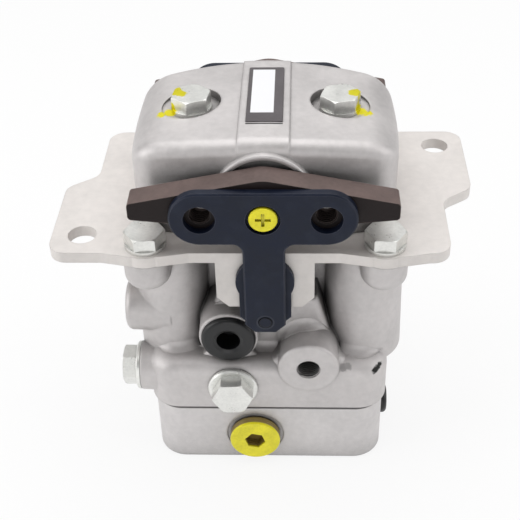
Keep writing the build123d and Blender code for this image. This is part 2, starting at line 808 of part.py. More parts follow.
def upper_housing():
    """Cast rocker housing with raised band, shaft bosses and bolt spotfaces."""
    outer = crowned_block()
    above = housing_top + 2 * band_height + overrun
    strip = block(-band_half_width, band_half_width, -housing_half_depth, housing_half_depth, axis_z, above)
    body = outer + (Pos(0, 0, band_height) * outer & strip)
    body += shaft_bosses()
    cuts = [housing_cavity()]
    for side in (-1, 1):
        mouth = side * (boss_face_y + overrun)
        recess = side * boss_recess_y
        seal_floor = side * (boss_recess_y - seal_length - loose_gap)
        cuts.append(rod_y(0, axis_z, shaft_boss_radius - shaft_boss_rim, recess, mouth))
        cuts.append(rod_y(0, axis_z, seal_radius + press_gap, seal_floor, mouth))
        cuts.append(rod_y(0, axis_z, bush_radius + press_gap, side * shaft_end_gap, mouth))
    cuts.append(rod_y(0, axis_z, shaft_radius + web_hole_play, -2 * shaft_end_gap, 2 * shaft_end_gap))
    for x, y in housing_bolt_places:
        cuts.append(rod(x, y, spotface_radius, spotface_z, above))
        cuts.append(rod(x, y, bolt_radius + bolt_hole_clearance, housing_floor - overrun, housing_top))
    half = name_plate_width / 2 + name_plate_play
    reach = name_plate_length / 2 + name_plate_play
    cuts.append(block(-half, half, name_plate_shift - reach, name_plate_shift + reach,
                      housing_top + band_height - name_plate_sink, above))
    return body - cuts


def name_plate():
    """Bare name plate in its shallow recess on the band."""
    low = housing_top + band_height - name_plate_sink
    outline = RectangleRounded(name_plate_width, name_plate_length, name_plate_corner)
    return Pos(0, name_plate_shift, low) * extrude(outline, name_plate_thickness)


def housing_gasket():
    """Gasket under the housing rim, open over the cavity."""
    sheet = bowed_plan(side_wall_inset, housing_corner)
    hole = bowed_plan(housing_wall, cavity_corner)
    web = Rectangle(2 * (housing_half_width - housing_wall / 2), 2 * web_half)
    pads = [Pos(x, y) * Circle(bolt_pillar_radius) for x, y in housing_bolt_places]
    sheet = sheet - (hole - web - pads)
    sheet -= [Pos(x, y) * Circle(bolt_radius + bolt_hole_clearance) for x, y in housing_bolt_places]
    return Pos(0, 0, plate_top) * extrude(sheet, gasket_thickness)


def shaft_seals():
    """Lip seals in the two shaft bosses."""
    front = -boss_recess_y + loose_gap
    seal = ring_y(axis_z, seal_radius, shaft_radius + running_gap, front, front + seal_length)
    return [seal, to_rear(seal)]


def shaft_bushes():
    """Plain bushes: one behind each seal and two in the web."""
    front = -boss_recess_y + loose_gap + seal_length + seal_back_gap
    outer = ring_y(axis_z, bush_radius, shaft_radius + running_gap, front, -inner_boss_reach)
    inner = ring_y(axis_z, bush_radius, shaft_radius + running_gap, -web_half, -web_bush_gap)
    return [outer, inner, to_rear(outer), to_rear(inner)]


def upright_pin_hole():
    """Hole of the pin that locks the rocker to its shaft."""
    reach = rocker_hub_radius + overrun
    return rod(0, rocker_pin_y, rocker_pin_radius + press_gap, axis_z - reach, axis_z + reach)


def pedal_shaft():
    """Half shaft from the lever to the web, threaded at its outer end."""
    body = rod_y(0, axis_z, shaft_radius, -lever_front_y, -shaft_end_gap)
    body = chamfer(end_circles(body, Axis.Y, -1), shaft_chamfer)
    body -= rod_y(0, axis_z, arm_screw_radius + press_gap, -lever_front_y - overrun,
                  -lever_front_y + arm_screw_length)
    return body - upright_pin_hole()


def rocker():
    """Two-armed rocker that presses the pushers with rounded pads."""
    profile = Circle(rocker_hub_radius)
    for x in (-bore_x, bore_x):
        root = Circle(rocker_root_radius)
        tip = Pos(x, -rocker_pad_drop + rocker_pad_radius - rocker_tip_radius) * Circle(rocker_tip_radius)
        pad = Pos(x, -rocker_pad_drop) * Circle(rocker_pad_radius)
        profile += make_hull(root.edges() + tip.edges()) + pad
    half = rocker_arm_depth / 2
    body = slab_y(Pos(0, axis_z) * profile, -bore_y - half, -bore_y + half)
    body += rod_y(0, axis_z, rocker_hub_radius, -inner_boss_reach + rocker_hub_gap, -web_half - rocker_hub_gap)
    body -= rod_y(0, axis_z, shaft_radius + press_gap, -housing_half_depth, 0)
    return body - upright_pin_hole()


def rocker_pin():
    """Pin that locks rocker and shaft together."""
    reach = rocker_hub_radius - rocker_pin_sink
    return rod(0, rocker_pin_y, rocker_pin_radius, axis_z - reach, axis_z + reach)


def wing_lever():
    """Forged lever: round hub, two tapering wings and a threaded boss in each."""
    reach = (wing_tip ** 2 + wing_tip_top ** 2) ** 0.5
    # Angle at the hub between the wing tip and the point where its top edge touches the hub
    lean = asin(wing_tip_top / reach) + acos(lever_hub_radius / reach)
    touch = (lever_hub_radius * cos(lean), lever_hub_radius * sin(lean))
    outline = Polygon((wing_tip, wing_tip_top), touch, (-touch[0], touch[1]), (-wing_tip, wing_tip_top),
                      (-wing_tip, wing_tip_bottom), (0, -wing_root_drop), (wing_tip, wing_tip_bottom),
                      align=None)
    tips = outline.vertices().group_by(Axis.X)[0] + outline.vertices().group_by(Axis.X)[-1]
    outline = fillet(tips, wing_tip_rounding)
    outline = outline + Circle(lever_hub_radius)
    half = arm_hole_spacing / 2
    for x in (-half, half):
        outline = outline + Pos(x, 0) * Circle(lever_boss_radius)
    body = slab_y(Pos(0, axis_z) * outline, -lever_front_y, -lever_back_y)
    front, back = -lever_front_y - overrun, -lever_back_y + overrun
    body -= rod_y(0, axis_z, shaft_radius + press_gap, front, back)
    for x in (-half, half):
        body -= rod_y(x, axis_z, lever_thread_radius, front, back)
    return body


def pedal_arm():
    """T-shaped plate: bar with two clearance holes and a stem down to the pin."""
    half, low, cut = arm_stem_width / 2, pin_z - arm_stem_end - axis_z, arm_stem_chamfer
    # The points run anticlockwise like the slot's, so that both fuse into one face
    stem = Polygon((half, 0), (-half, 0), (-half, low + cut), (-half + cut, low),
                   (half - cut, low), (half, low + cut), align=None)
    profile = SlotCenterToCenter(arm_hole_spacing, arm_bar_width) + stem
    roots = [corner for corner in profile.vertices()
             if abs(abs(corner.X) - half) < press_gap and abs(corner.Y + arm_bar_width / 2) < press_gap]
    profile = fillet(roots, arm_root_fillet)
    body = slab_y(Pos(0, axis_z) * profile, -arm_front_y, -lever_front_y)
    body = chamfer(body.faces().sort_by(Axis.Y)[0].edges(), arm_edge_chamfer)
    front, back = -arm_front_y - overrun, -lever_front_y + overrun
    for x in (-arm_hole_spacing / 2, arm_hole_spacing / 2):
        body -= rod_y(x, axis_z, arm_hole_radius, front, back)
    body -= rod_y(0, axis_z, arm_recess_radius, front, -arm_front_y + arm_recess_depth)
    body -= rod_y(0, axis_z, arm_screw_radius + press_gap, front, back)
    return body - rod_y(0, pin_z, pin_radius + press_gap, front, back)


def arm_screw():
    """Cross-recess screw that holds lever and arm on the shaft."""
    seat = -arm_front_y + arm_recess_depth
    head = rod_y(0, axis_z, arm_screw_head_radius, -arm_front_y + arm_screw_head_sink, seat)
    head = fillet(end_circles(head, Axis.Y, 0), arm_screw_head_rounding)
    wide, thin = cross_length / 2, cross_width / 2
    front, bottom = -arm_front_y - overrun, -arm_front_y + cross_depth
    cross = block(-wide, wide, front, bottom, axis_z - thin, axis_z + thin)
    cross += block(-thin, thin, front, bottom, axis_z - wide, axis_z + wide)
    shank_end = -lever_front_y + arm_screw_length - thread_end_gap
    return head + rod_y(0, axis_z, arm_screw_radius, seat, shank_end) - cross


def drive_pin():
    """Pin riveted in the stem; it works in the slot of the damper arm."""
    return rod_y(0, pin_z, pin_radius, -arm_front_y - pin_head_height,
                 -plate_half_depth - loose_gap)


def damper_arm():
    """Slotted arm of the rotary damper, in one piece with its shaft."""
    back = -plate_half_depth - loose_gap
    front = back - damper_arm_thickness
    side, tip, cut = damper_arm_half, -damper_arm_reach, damper_arm_chamfer
    outline = Circle(damper_hub_radius) + Polygon(
        (side, 0), (-side, 0), (-side, tip + cut), (-side + cut, tip),
        (side - cut, tip), (side, tip + cut), align=None)
    half = pin_radius + damper_slot_clearance
    slot = Pos(0, -damper_slot_start) * Circle(half)
    slot += Polygon((-half, -damper_slot_start), (half, -damper_slot_start), (half, tip - overrun),
                    (-half, tip - overrun), align=None)
    body = slab_y(Pos(0, damper_z) * (outline - slot), front, back)
    return body + rod_y(0, damper_z, damper_shaft_radius, back, -tab_back_y + damper_shaft_depth)


def damper_body():
    """Damper body behind the tab, flattened below the plate."""
    front = -tab_back_y
    back = front + damper_body_depth
    body = rod_y(0, damper_z, damper_body_radius, front, back)
    reach = damper_body_radius + overrun
    body &= block(-reach, reach, front - overrun, back + overrun, damper_z - reach, casing_top - loose_gap)
    body = chamfer(body.faces().sort_by(Axis.Y)[-1].edges(), damper_body_chamfer)
    body -= rod_y(0, damper_z, damper_shaft_radius + running_gap, front - overrun, front + damper_bore_depth)
    for x in (-damper_screw_spread, damper_screw_spread):
        body -= rod_y(x, damper_screw_z, damper_screw_radius + press_gap, front - overrun,
                      front + damper_screw_bore)
    return body


def damper_screws():
    """Countersunk screws that hold both damper bodies to their tabs."""
    screws = []
    for x in (-damper_screw_spread, damper_screw_spread):
        screw = countersunk(x, damper_screw_z, 0, damper_screw_length)
        screws += [screw, to_rear(screw)]
    return screws


def pusher(x, y):
    """Pusher with a hollow foot and the spring retainer on it."""
    body = rod(x, y, pusher_radius, retainer_bottom, pusher_top)
    body = fillet(end_circles(body, Axis.Z, -1), pusher_edge)
    body += rod(x, y, retainer_radius, retainer_bottom, retainer_top)
    roof = spool_head_top + pusher_stroke + pusher_bore_spare
    return body - rod(x, y, pusher_bore_radius, retainer_bottom - overrun, roof)


def pusher_bushing(x, y):
    """Guide of the pusher, held down by the plate, with an O-ring groove outside."""
    body = ring(x, y, bushing_radius, pusher_radius + running_gap, bushing_floor, casing_top)
    groove_floor = bushing_floor + bushing_groove_height
    groove = ring(x, y, bushing_radius + overrun, bushing_radius - bushing_groove_depth,
                  groove_floor, groove_floor + bushing_groove_width)
    seat = rod(x, y, pusher_radius + wiper_width, casing_top - wiper_height, casing_top + overrun)
    return body - groove - seat


def pusher_wipers():
    """Wiper ring in the top of each bushing."""
    outer = pusher_radius + wiper_width - press_gap
    return [ring(x, y, outer, pusher_radius + running_gap, casing_top - wiper_height,
                 casing_top - wiper_sink) for x, y in corners]


def coil(x, y, mean_radius, wire, turns, low, high):
    """Open coil spring between two heights."""
    pitch = (high - low - wire) / turns
    path = Helix(pitch, pitch * turns, mean_radius)
    section = Plane(path @ 0, z_dir=path % 0) * RegularPolygon(wire / 2, 8)
    return Pos(x, y, low + wire / 2) * sweep(section, path=path, is_frenet=True)


def return_spring(x, y):
    mean = retainer_radius - spring_gap - return_wire / 2
    return coil(x, y, mean, return_wire, return_turns, chamber_floor + spring_gap, retainer_bottom - spring_gap)


def metering_spring(x, y):
    mean = pusher_bore_radius + metering_wire / 2
    return coil(x, y, mean, metering_wire, metering_turns, spool_collar_top + spring_gap,
                retainer_bottom - spring_gap)


def valve_spool(x, y):
    """Spool with two waists, a collar for its spring and a headed stem."""
    low = base_height + spool_bottom_gap
    body = rod(x, y, spool_radius, low, spool_collar_top)
    for lift in spool_waists:
        body -= ring(x, y, spool_radius + overrun, spool_waist_radius, low + lift, low + lift + spool_waist_height)
    body += rod(x, y, spool_collar_radius, spool_collar_floor, spool_collar_top)
    body += rod(x, y, spool_stem_radius, spool_collar_top, spool_head_top)
    return body + rod(x, y, spool_head_radius, spool_head_top - spool_head_height, spool_head_top)


def write(name, shapes):
    """Write one node; a list becomes one node of separate solids."""
    if isinstance(shapes, list):
        shapes = Compound(children=shapes)
    export_step(shapes, f"parts/{name}.step")


def write_fixed_pieces():
    write("base_block", base_block())
    write("base_screws", base_screws())
    write("base_seals", base_seals())
    write("socket_plug", socket_plug())
    write("shuttle_spool", shuttle_spool())
    write("valve_casing", valve_casing())
    write("front_hex_plug", front_hex_plug())
    write("side_hex_plug", side_hex_plug())
    write("front_port_cap", front_port_cap())
    write("side_port_cap", side_port_cap())
    write("mounting_plate", mounting_plate())
    write("plate_bolts", plate_bolts())
    write("housing_bolts", housing_bolts())
    write("bolt_washers", bolt_washers())
    write("upper_housing", upper_housing())
    write("housing_gasket", housing_gasket())
    write("name_plate", name_plate())
    write("shaft_seals", shaft_seals())
    write("shaft_bushes", shaft_bushes())
    write("damper_screws", damper_screws())
    write("pusher_wipers", pusher_wipers())


def write_pedal_trains():
    """Shaft, levers and damper at the front, and the same pieces at the rear."""
    ends = {"front": lambda shape: shape, "rear": to_rear}
    for end, place in ends.items():
        write(f"{end}_shaft", place(pedal_shaft()))
        write(f"{end}_rocker", place(rocker()))
        write(f"{end}_rocker_pin", place(rocker_pin()))
        write(f"{end}_lever", place(wing_lever()))
        write(f"{end}_pedal_arm", place(pedal_arm()))
        write(f"{end}_arm_screw", place(arm_screw()))
        write(f"{end}_drive_pin", place(drive_pin()))
        write(f"{end}_damper_arm", place(damper_arm()))
        write(f"{end}_damper_body", place(damper_body()))


def write_valves():
    """Pusher, bushing, springs and spool of each corner."""
    names = ("front_left", "front_right", "rear_left", "rear_right")
    for name, (x, y) in zip(names, corners):
        write(f"{name}_pusher", pusher(x, y))
        write(f"{name}_bushing", pusher_bushing(x, y))
        write(f"{name}_return_spring", return_spring(x, y))
        write(f"{name}_metering_spring", metering_spring(x, y))
        write(f"{name}_spool", valve_spool(x, y))


def main():
    os.makedirs("parts", exist_ok=True)
    write_fixed_pieces()
    write_pedal_trains()
    write_valves()


main()
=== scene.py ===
"""Foot pilot valve: finishes, paint marks, threads, cast fillets, springs, studio and camera."""
import json
from collections import namedtuple
from math import atan2, cos, pi, radians, sin, tau

import bmesh
import bpy
from mathutils import Matrix, Vector


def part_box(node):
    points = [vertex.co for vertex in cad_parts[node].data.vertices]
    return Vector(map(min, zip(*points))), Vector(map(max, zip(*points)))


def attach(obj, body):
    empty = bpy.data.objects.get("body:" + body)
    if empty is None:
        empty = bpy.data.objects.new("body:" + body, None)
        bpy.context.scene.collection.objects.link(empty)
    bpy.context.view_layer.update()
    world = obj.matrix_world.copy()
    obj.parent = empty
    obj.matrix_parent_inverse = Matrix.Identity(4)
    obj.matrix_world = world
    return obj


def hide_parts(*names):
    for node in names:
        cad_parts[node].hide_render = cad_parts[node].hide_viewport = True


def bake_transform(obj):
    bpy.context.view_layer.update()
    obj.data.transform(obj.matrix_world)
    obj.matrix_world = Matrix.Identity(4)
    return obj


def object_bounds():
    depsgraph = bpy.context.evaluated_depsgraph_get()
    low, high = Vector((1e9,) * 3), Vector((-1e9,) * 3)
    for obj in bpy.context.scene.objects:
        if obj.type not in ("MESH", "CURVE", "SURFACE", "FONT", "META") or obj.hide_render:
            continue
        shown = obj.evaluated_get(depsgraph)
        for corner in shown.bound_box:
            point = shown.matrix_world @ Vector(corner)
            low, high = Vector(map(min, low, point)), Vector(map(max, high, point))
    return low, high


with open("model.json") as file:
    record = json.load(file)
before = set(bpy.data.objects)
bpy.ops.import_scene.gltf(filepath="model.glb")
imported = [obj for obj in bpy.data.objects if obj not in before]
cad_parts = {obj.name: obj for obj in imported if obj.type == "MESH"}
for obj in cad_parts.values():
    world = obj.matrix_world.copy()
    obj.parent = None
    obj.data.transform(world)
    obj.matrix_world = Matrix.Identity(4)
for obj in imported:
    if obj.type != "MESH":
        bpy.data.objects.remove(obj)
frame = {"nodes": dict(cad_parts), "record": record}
cad_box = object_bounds()
nodes = frame["nodes"]
record = frame["record"]
mounts = {mount["name"]: mount for mount in record["mounts"]}

# Camera that took the photograph, worked out from corners of the object
camera_place = (0.01811, -0.46339, 0.45532)
camera_azimuth = 2.867
camera_elevation = 37.794
camera_roll = -1.656
camera_clip = 0.01
focal_pixels = 1050.76
photo_pixels = 520
sensor_width = 36.0

# Finish colours, as they look on a screen
aluminium_colour = (0.79, 0.775, 0.772)
block_colour = (0.82, 0.807, 0.805)
zinc_colour = (0.87, 0.85, 0.835)
bolt_colour = (0.90, 0.90, 0.885)
steel_colour = (0.62, 0.62, 0.63)
spring_colour = (0.42, 0.42, 0.44)
lever_top_colour = (0.42, 0.36, 0.345)
# Dark colour that paints shade on the lever's front and back faces, and its random mottling
lever_shade_and_mottle_colour = (0.095, 0.055, 0.055)
lever_edge_wear_and_highlight_colour = (0.58, 0.52, 0.50)
lever_crevice_shade_colour = (0.06, 0.05, 0.05)
lever_hole_shade_colour = (0.045, 0.035, 0.035)
arm_colour = (0.040, 0.076, 0.155)
arm_bloom_and_sheen_colour = (0.20, 0.23, 0.29)
arm_edge_colour = (0.40, 0.41, 0.46)
pin_seam_colour = (0.03, 0.03, 0.035)
pin_rub_colour = (0.30, 0.31, 0.34)
rubber_colour = (0.055, 0.055, 0.066)
yellow_colour = (0.90, 0.86, 0.10)
yellow_worn_colour = (0.80, 0.77, 0.52)
# Shaded copy of the yellow, painted into corners as shade
yellow_crevice_shade_colour = (0.30, 0.25, 0.06)
brass_colour = (0.56, 0.48, 0.25)
label_edge_colour = (0.34, 0.32, 0.33)
label_blank_colour = (0.93, 0.93, 0.94)
bronze_colour = (0.70, 0.52, 0.30)
gasket_colour = (0.25, 0.235, 0.22)
# Dark colour for dirt and dark joints, and for painted shade in recesses, in a small void and in the line in
# front of the name plate
dirt_and_shade_colour = (0.13, 0.125, 0.12)

# Roughness of every clear coat
coat_roughness = 0.1

# Grain heights, and sizes of marks on the surfaces, in metres
casting_grain = 0.00006
block_grain = 0.00003
seam_low = 0.0386
seam_high = 0.0396
seam_soft = 0.0004
plate_line_far = 0.0018
plate_line_near = 0.0010
plate_line_below = 0.0003
plate_line_above = 0.01
lever_hole_ring = 0.0046
lever_hole_width = 0.0018
pin_seam_width = 0.0004
pin_rub_radius = 0.0042
pin_rub_width = 0.0005
lacquer_full = 0.0009
lacquer_end = 0.0014

# Blank field of the name plate: distance in from each edge of the plate, and the field's soft edge
label_left = 0.0018
label_right = 0.0045
label_front = 0.0085
label_back = 0.0025
label_soft = 0.0001

# Yellow checking marks: on a bolt head or washer, place, height above it, reach
bolt_marks = [
    ("head", -0.0455, 0.0025, 0.0, 0.0036),
    ("head", -0.0420, 0.0000, 0.0, 0.0022),
    ("washer", -0.0477, -0.0040, 0.0, 0.0034),
    ("washer", -0.0521, -0.0072, 0.0015, 0.0034),
    ("head", 0.0452, 0.0005, 0.0, 0.0034),
    ("washer", 0.0472, -0.0035, 0.0, 0.0034),
    ("washer", 0.0503, -0.0068, 0.0010, 0.0032),
]

# Painted shade of a small slit-shaped void, and two darker grey patches, right of the open port
slit_start = (0.0601, -0.0523, 0.0659)
slit_run = (-0.0033, -0.0039, -0.0014)
slit_stops = (0.0, 0.33, 0.67, 1.0)
slit_reach = 0.0011
darker_patches = [((0.0405, -0.0567, 0.0672), 0.0016, 0.8), ((0.0430, -0.0560, 0.0676), 0.0014, 0.84)]

# Springs: the place along a blend at which a metering spring's foot would move as far as the spool that it
# stands on;
# it goes with each metering spring, but no blend is made and nothing reads it
spool_share = 0.243

# Threads shown in open holes, in metres, and their ridge as shares of the pitch
thread_pitch = 0.0015
thread_depth = 0.0005
thread_sink = 0.00002
thread_root_half = 0.45
thread_crest_half = 0.07
thread_steps = 40

# Casing forms that the cast fillets run along, in millimetres
Boss = namedtuple("Boss", "across height radius face")
shoulder_top = 70.0
shoulder_start = 61.0
shoulder_rounding = 9.0
shoulder_front = 59.3
pad_front = 43.5
pad_half_width = 39.0
column_across = 51.0
column_along = 26.0
column_top = 138.0
column_top_radius = 19.5
foot_radius = {"left": 19.0, "right": 21.5}
capped_boss = Boss(across=-20.1, height=85.7, radius=15.6, face=54.0)
open_boss = Boss(across=21.9, height=69.4, radius=16.2, face=60.8)

# Cast fillets, in millimetres: radius in the middle, what is added everywhere, how fast it grows, rings
Taper = namedtuple("Taper", "largest least growth steps")
tapers = {
    "pad": Taper(5.0, 0.3, 5, 32),
    "column": Taper(5.0, 0.3, 3, 32),
    "capped_root": Taper(2.4, 0.2, 3, 40),
    "open_root": Taper(5.0, 0.2, 3, 40),
    "flank": Taper(4.0, 0.3, 2.5, 16),
    "saddle": Taper(3.6, 0.5, 3, 12),
}

# Steps across a fillet, and in millimetres how deep its back lies and how far its corner overlaps;
# then how far out a column's fillet reads the shoulder's height, as a share of its radius
fillet_steps = 8
fillet_sink = 0.5
fillet_overlap = 0.1
fillet_lean = 0.6

# Boss fillets, in millimetres: off the boss at its root, into the pad, short of the boss's face, and
# how far the saddle lies in the shoulder and in the boss
boss_skin = 0.3
boss_overlap = 0.5
flank_stop = 2.5
saddle_stop = 1.0
saddle_sink = 0.2
saddle_rise = 1.0

# Where fillets start and end, in degrees
column_fillet_start = -62
column_fillet_sweep = 92
capped_root_angles = (0, 118)
open_root_angles = (48, 175)

# Edges sharper than this are kept in shading, in degrees
node_smooth_angle = 32
fillet_smooth_angle = 40

# Studio: surroundings' strength, and each lamp's place, size and power
world_strength = 0.28
floor_albedo = 0.86
floor_glow = 0.86
floor_reach = 6.0
floor_drop = 0.0002
lamp_target = (0.0, 0.0, 0.1)
lamps = {
    "overhead": ((-0.02, 0.20, 1.25), 1.3, 11.0),
    "back_card": ((0.05, 1.5, 1.1), 1.8, 3.5),
    "fill_left": ((-1.25, -0.30, 0.6), 1.0, 8.5),
    "fill_right": ((1.25, -0.15, 0.7), 1.0, 6.0),
    "low_front": ((0.0, -1.2, 0.22), 0.7, 2.4),
}
white = (1.0, 1.0, 1.0, 1.0)


def linear(colour):
    """Screen colour to the linear values that shaders use."""
    return tuple(c / 12.92 if c <= 0.04045 else ((c + 0.055) / 1.055) ** 2.4 for c in colour) + (1.0,)


def shade(colour, factor):
    return tuple(min(1.0, c * factor) for c in colour)


def shares(steps):
    """Even steps from 0 to 1."""
    return [i / steps for i in range(steps + 1)]


def smooth_step(value):
    value = min(1.0, max(0.0, value))
    return value * value * (3 - 2 * value)


def place_object(name, data):
    made = bpy.data.objects.new(name, data)
    bpy.context.scene.collection.objects.link(made)
    return made


def shade_smooth(mesh, angle=None):
    """Smooth shading, with edges sharper than the angle kept."""
    mesh.polygons.foreach_set("use_smooth", [True] * len(mesh.polygons))
    if angle:
        mesh.set_sharp_from_angle(angle=radians(angle))


class Finish:
    """A procedural material built up in steps around one Principled shader."""

    def __init__(self, name, metallic, roughness, coat=0.0, specular=0.5):
        self.material = bpy.data.materials.new(name)
        self.material.use_nodes = True
        tree = self.material.node_tree
        self.nodes = tree.nodes
        self.links = tree.links
        self.shader = self.nodes["Principled BSDF"]
        values = {"Metallic": metallic, "Roughness": roughness, "Specular IOR Level": specular,
                  "Coat Weight": coat, "Coat Roughness": coat_roughness}
        for socket, value in values.items():
            self.shader.inputs[socket].default_value = value
        self.place = self.nodes.new("ShaderNodeTexCoord").outputs["Object"]
        self.colour = None
        self.height = None
        self.normal = None

    def add(self, kind, **values):
        node = self.nodes.new(kind)
        for key, value in values.items():
            setattr(node, key, value)
        return node

    def feed(self, socket, value):
        """Link an output to a socket, or set a plain value on it."""
        if isinstance(value, bpy.types.NodeSocket):
            self.links.new(value, socket)
        else:
            socket.default_value = value

    def noise(self, scale, detail=4.0, roughness=0.55, stretch=None):
        """Noise over the object; stretch slows it along an axis."""
        texture = self.add("ShaderNodeTexNoise")
        texture.inputs["Scale"].default_value = scale
        texture.inputs["Detail"].default_value = detail
        texture.inputs["Roughness"].default_value = roughness
        source = self.place
        if stretch:
            mapping = self.add("ShaderNodeMapping")
            mapping.inputs["Scale"].default_value = stretch
            self.links.new(self.place, mapping.inputs["Vector"])
            source = mapping.outputs["Vector"]
        self.links.new(source, texture.inputs["Vector"])
        return texture.outputs["Fac"]

    def spread(self, value, low, high, to_low=0.0, to_high=1.0):
        """Map a range of values onto another, with clamped ends."""
        node = self.add("ShaderNodeMapRange")
        self.feed(node.inputs["Value"], value)
        for name, number in (("From Min", low), ("From Max", high), ("To Min", to_low), ("To Max", to_high)):
            node.inputs[name].default_value = number
        return node.outputs["Result"]

    def calc(self, operation, first, second=None):
        node = self.add("ShaderNodeMath", operation=operation)
        self.feed(node.inputs[0], first)
        if second is not None:
            self.feed(node.inputs[1], second)
        return node.outputs["Value"]

    def times(self, first, second):
        return self.calc("MULTIPLY", first, second)

    def mix(self, factor, first, second):
        node = self.add("ShaderNodeMix", data_type="RGBA")
        self.feed(node.inputs["Factor"], factor)
        self.feed(node.inputs[6], first)
        self.feed(node.inputs[7], second)
        return node.outputs[2]

    def paint(self, cover, colour, strength=None):
        """Lay a screen colour over what is there."""
        if strength is not None:
            cover = self.times(cover, strength)
        self.colour = self.mix(cover, self.colour, linear(colour))

    def raise_by(self, value, amount):
        """Add to the height map, in metres."""
        step = self.times(value, amount)
        self.height = step if self.height is None else self.calc("ADD", self.height, step)

    def roughen(self, value, low, high):
        self.feed(self.shader.inputs["Roughness"], self.spread(value, 0.3, 0.7, low, high))

    def bevelled_normal(self, radius):
        bevel = self.add("ShaderNodeBevel", samples=4)
        bevel.inputs["Radius"].default_value = radius
        return bevel.outputs["Normal"]

    def edges(self, radius):
        """How far a soft bevel turns the normal away: 0 on flats, about 1 on sharp edges."""
        turned = self.bevelled_normal(radius)
        true_normal = self.add("ShaderNodeNewGeometry").outputs["Normal"]
        dot = self.add("ShaderNodeVectorMath", operation="DOT_PRODUCT")
        self.links.new(turned, dot.inputs[0])
        self.links.new(true_normal, dot.inputs[1])
        return self.spread(dot.outputs["Value"], 1.0, 0.75)

    def soften(self, radius):
        """Round off edges in shading, by about this radius."""
        self.normal = self.bevelled_normal(radius)

    def crevices(self, distance, deep, bare):
        """Mask for painted shade: 1 where the surroundings leave a share of deep open, and 0 where they
        leave a share of bare.
        """
        hidden = self.add("ShaderNodeAmbientOcclusion", samples=4)
        hidden.inputs["Distance"].default_value = distance
        return self.spread(hidden.outputs["AO"], bare, deep)

    def facing(self, axis):
        """How squarely the surface faces along an axis of the piece, from 0 to 1."""
        split = self.add("ShaderNodeSeparateXYZ")
        self.links.new(self.place.node.outputs["Normal"], split.inputs[0])
        return self.calc("ABSOLUTE", split.outputs[axis])

    def within(self, axis, low, high, soft=0.0002):
        """1 between two places along an axis, falling off over a soft width."""
        value = self.axis_value(axis)
        return self.times(self.spread(value, low - soft, low), self.spread(value, high + soft, high))

    def ring(self, centre, radius, width):
        """1 on a ring round a line along Y through a point."""
        across = self.calc("SUBTRACT", self.axis_value("X"), centre[0])
        up = self.calc("SUBTRACT", self.axis_value("Z"), centre[1])
        square = self.calc("ADD", self.times(across, across), self.times(up, up))
        off = self.calc("ABSOLUTE", self.calc("SUBTRACT", self.calc("SQRT", square), radius))
        return self.spread(off, width, width / 2)

    def dab(self, point, reach, colour, ragged=0.004, soft=0.0008):
        """Ragged blot of paint or dirt round a point."""
        edge = self.times(self.calc("SUBTRACT", self.noise(420.0, 3.0), 0.5), ragged)
        self.paint(self.spread(self.calc("ADD", self.distance_to(point), edge), reach + soft, reach), colour)

    def axis_value(self, axis):
        split = self.add("ShaderNodeSeparateXYZ")
        self.links.new(self.place, split.inputs[0])
        return split.outputs[axis]

    def distance_to(self, point):
        node = self.add("ShaderNodeVectorMath", operation="DISTANCE")
        self.links.new(self.place, node.inputs[0])
        node.inputs[1].default_value = point
        return node.outputs["Value"]

    def finish(self):
        """Join colour, height and normal to the shader."""
        self.links.new(self.colour, self.shader.inputs["Base Color"])
        bump = self.add("ShaderNodeBump")
        bump.inputs["Strength"].default_value = 1.0
        bump.inputs["Distance"].default_value = 1.0
        self.links.new(self.height, bump.inputs["Height"])
        if self.normal is not None:
            self.links.new(self.normal, bump.inputs["Normal"])
        self.links.new(bump.outputs["Normal"], self.shader.inputs["Normal"])
        return self.material


def start_colour(finish, colour, scale, amount):
    """Base colour with slow and quick variation round it; gives the variation back."""
    slow = finish.noise(scale, 3.0)
    quick = finish.noise(scale * 9, 5.0)
    total = finish.calc("ADD", finish.times(slow, 0.6), finish.times(quick, 0.4))
    level = finish.spread(total, 0.35, 0.65)
    finish.colour = finish.mix(level, linear(shade(colour, 1 - amount)), linear(shade(colour, 1 + amount)))
    return total


def cast_aluminium(name, colour, grain=casting_grain, dabs=(), marks=None):
    """Sand-cast, shot-blasted aluminium, with painted shade and dirt darkening its corners and recesses."""
    finish = Finish(name, metallic=0.5, roughness=0.5)
    level = start_colour(finish, colour, scale=32.0, amount=0.045)
    # Painted shade from ambient occlusion: a darker copy of the colour, then the dark dirt and shade colour,
    # in wide and tight corners and recesses
    finish.paint(finish.crevices(0.024, deep=0.1, bare=0.62), shade(colour, 0.36), strength=0.62)
    finish.paint(finish.crevices(0.040, deep=0.05, bare=0.38), dirt_and_shade_colour, strength=0.85)
    finish.paint(finish.crevices(0.003, deep=0.25, bare=0.8), dirt_and_shade_colour, strength=0.6)
    finish.paint(finish.edges(radius=0.0008), shade(colour, 1.16), strength=0.3)
    finish.paint(finish.within("Z", seam_low, seam_high, seam_soft), dirt_and_shade_colour, strength=0.7)
    if marks:
        marks(finish)
    for point, reach, paint in dabs:
        finish.dab(point, reach, paint)
    finish.roughen(level, low=0.42, high=0.58)
    finish.raise_by(finish.noise(1500.0, 3.0, 0.6), grain)
    finish.raise_by(finish.noise(210.0, 3.0), grain * 2.2)
    finish.soften(radius=0.0016)
    return finish.finish()


def name_plate_line(finish):
    """Shadow line in front of the name plate."""
    low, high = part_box("name_plate")
    across = finish.within("X", low.x, high.x)
    along = finish.within("Y", low.y - plate_line_far, low.y - plate_line_near)
    line = finish.times(across, along)
    line = finish.times(line, finish.within("Z", low.z - plate_line_below, high.z + plate_line_above))
    finish.paint(line, dirt_and_shade_colour)


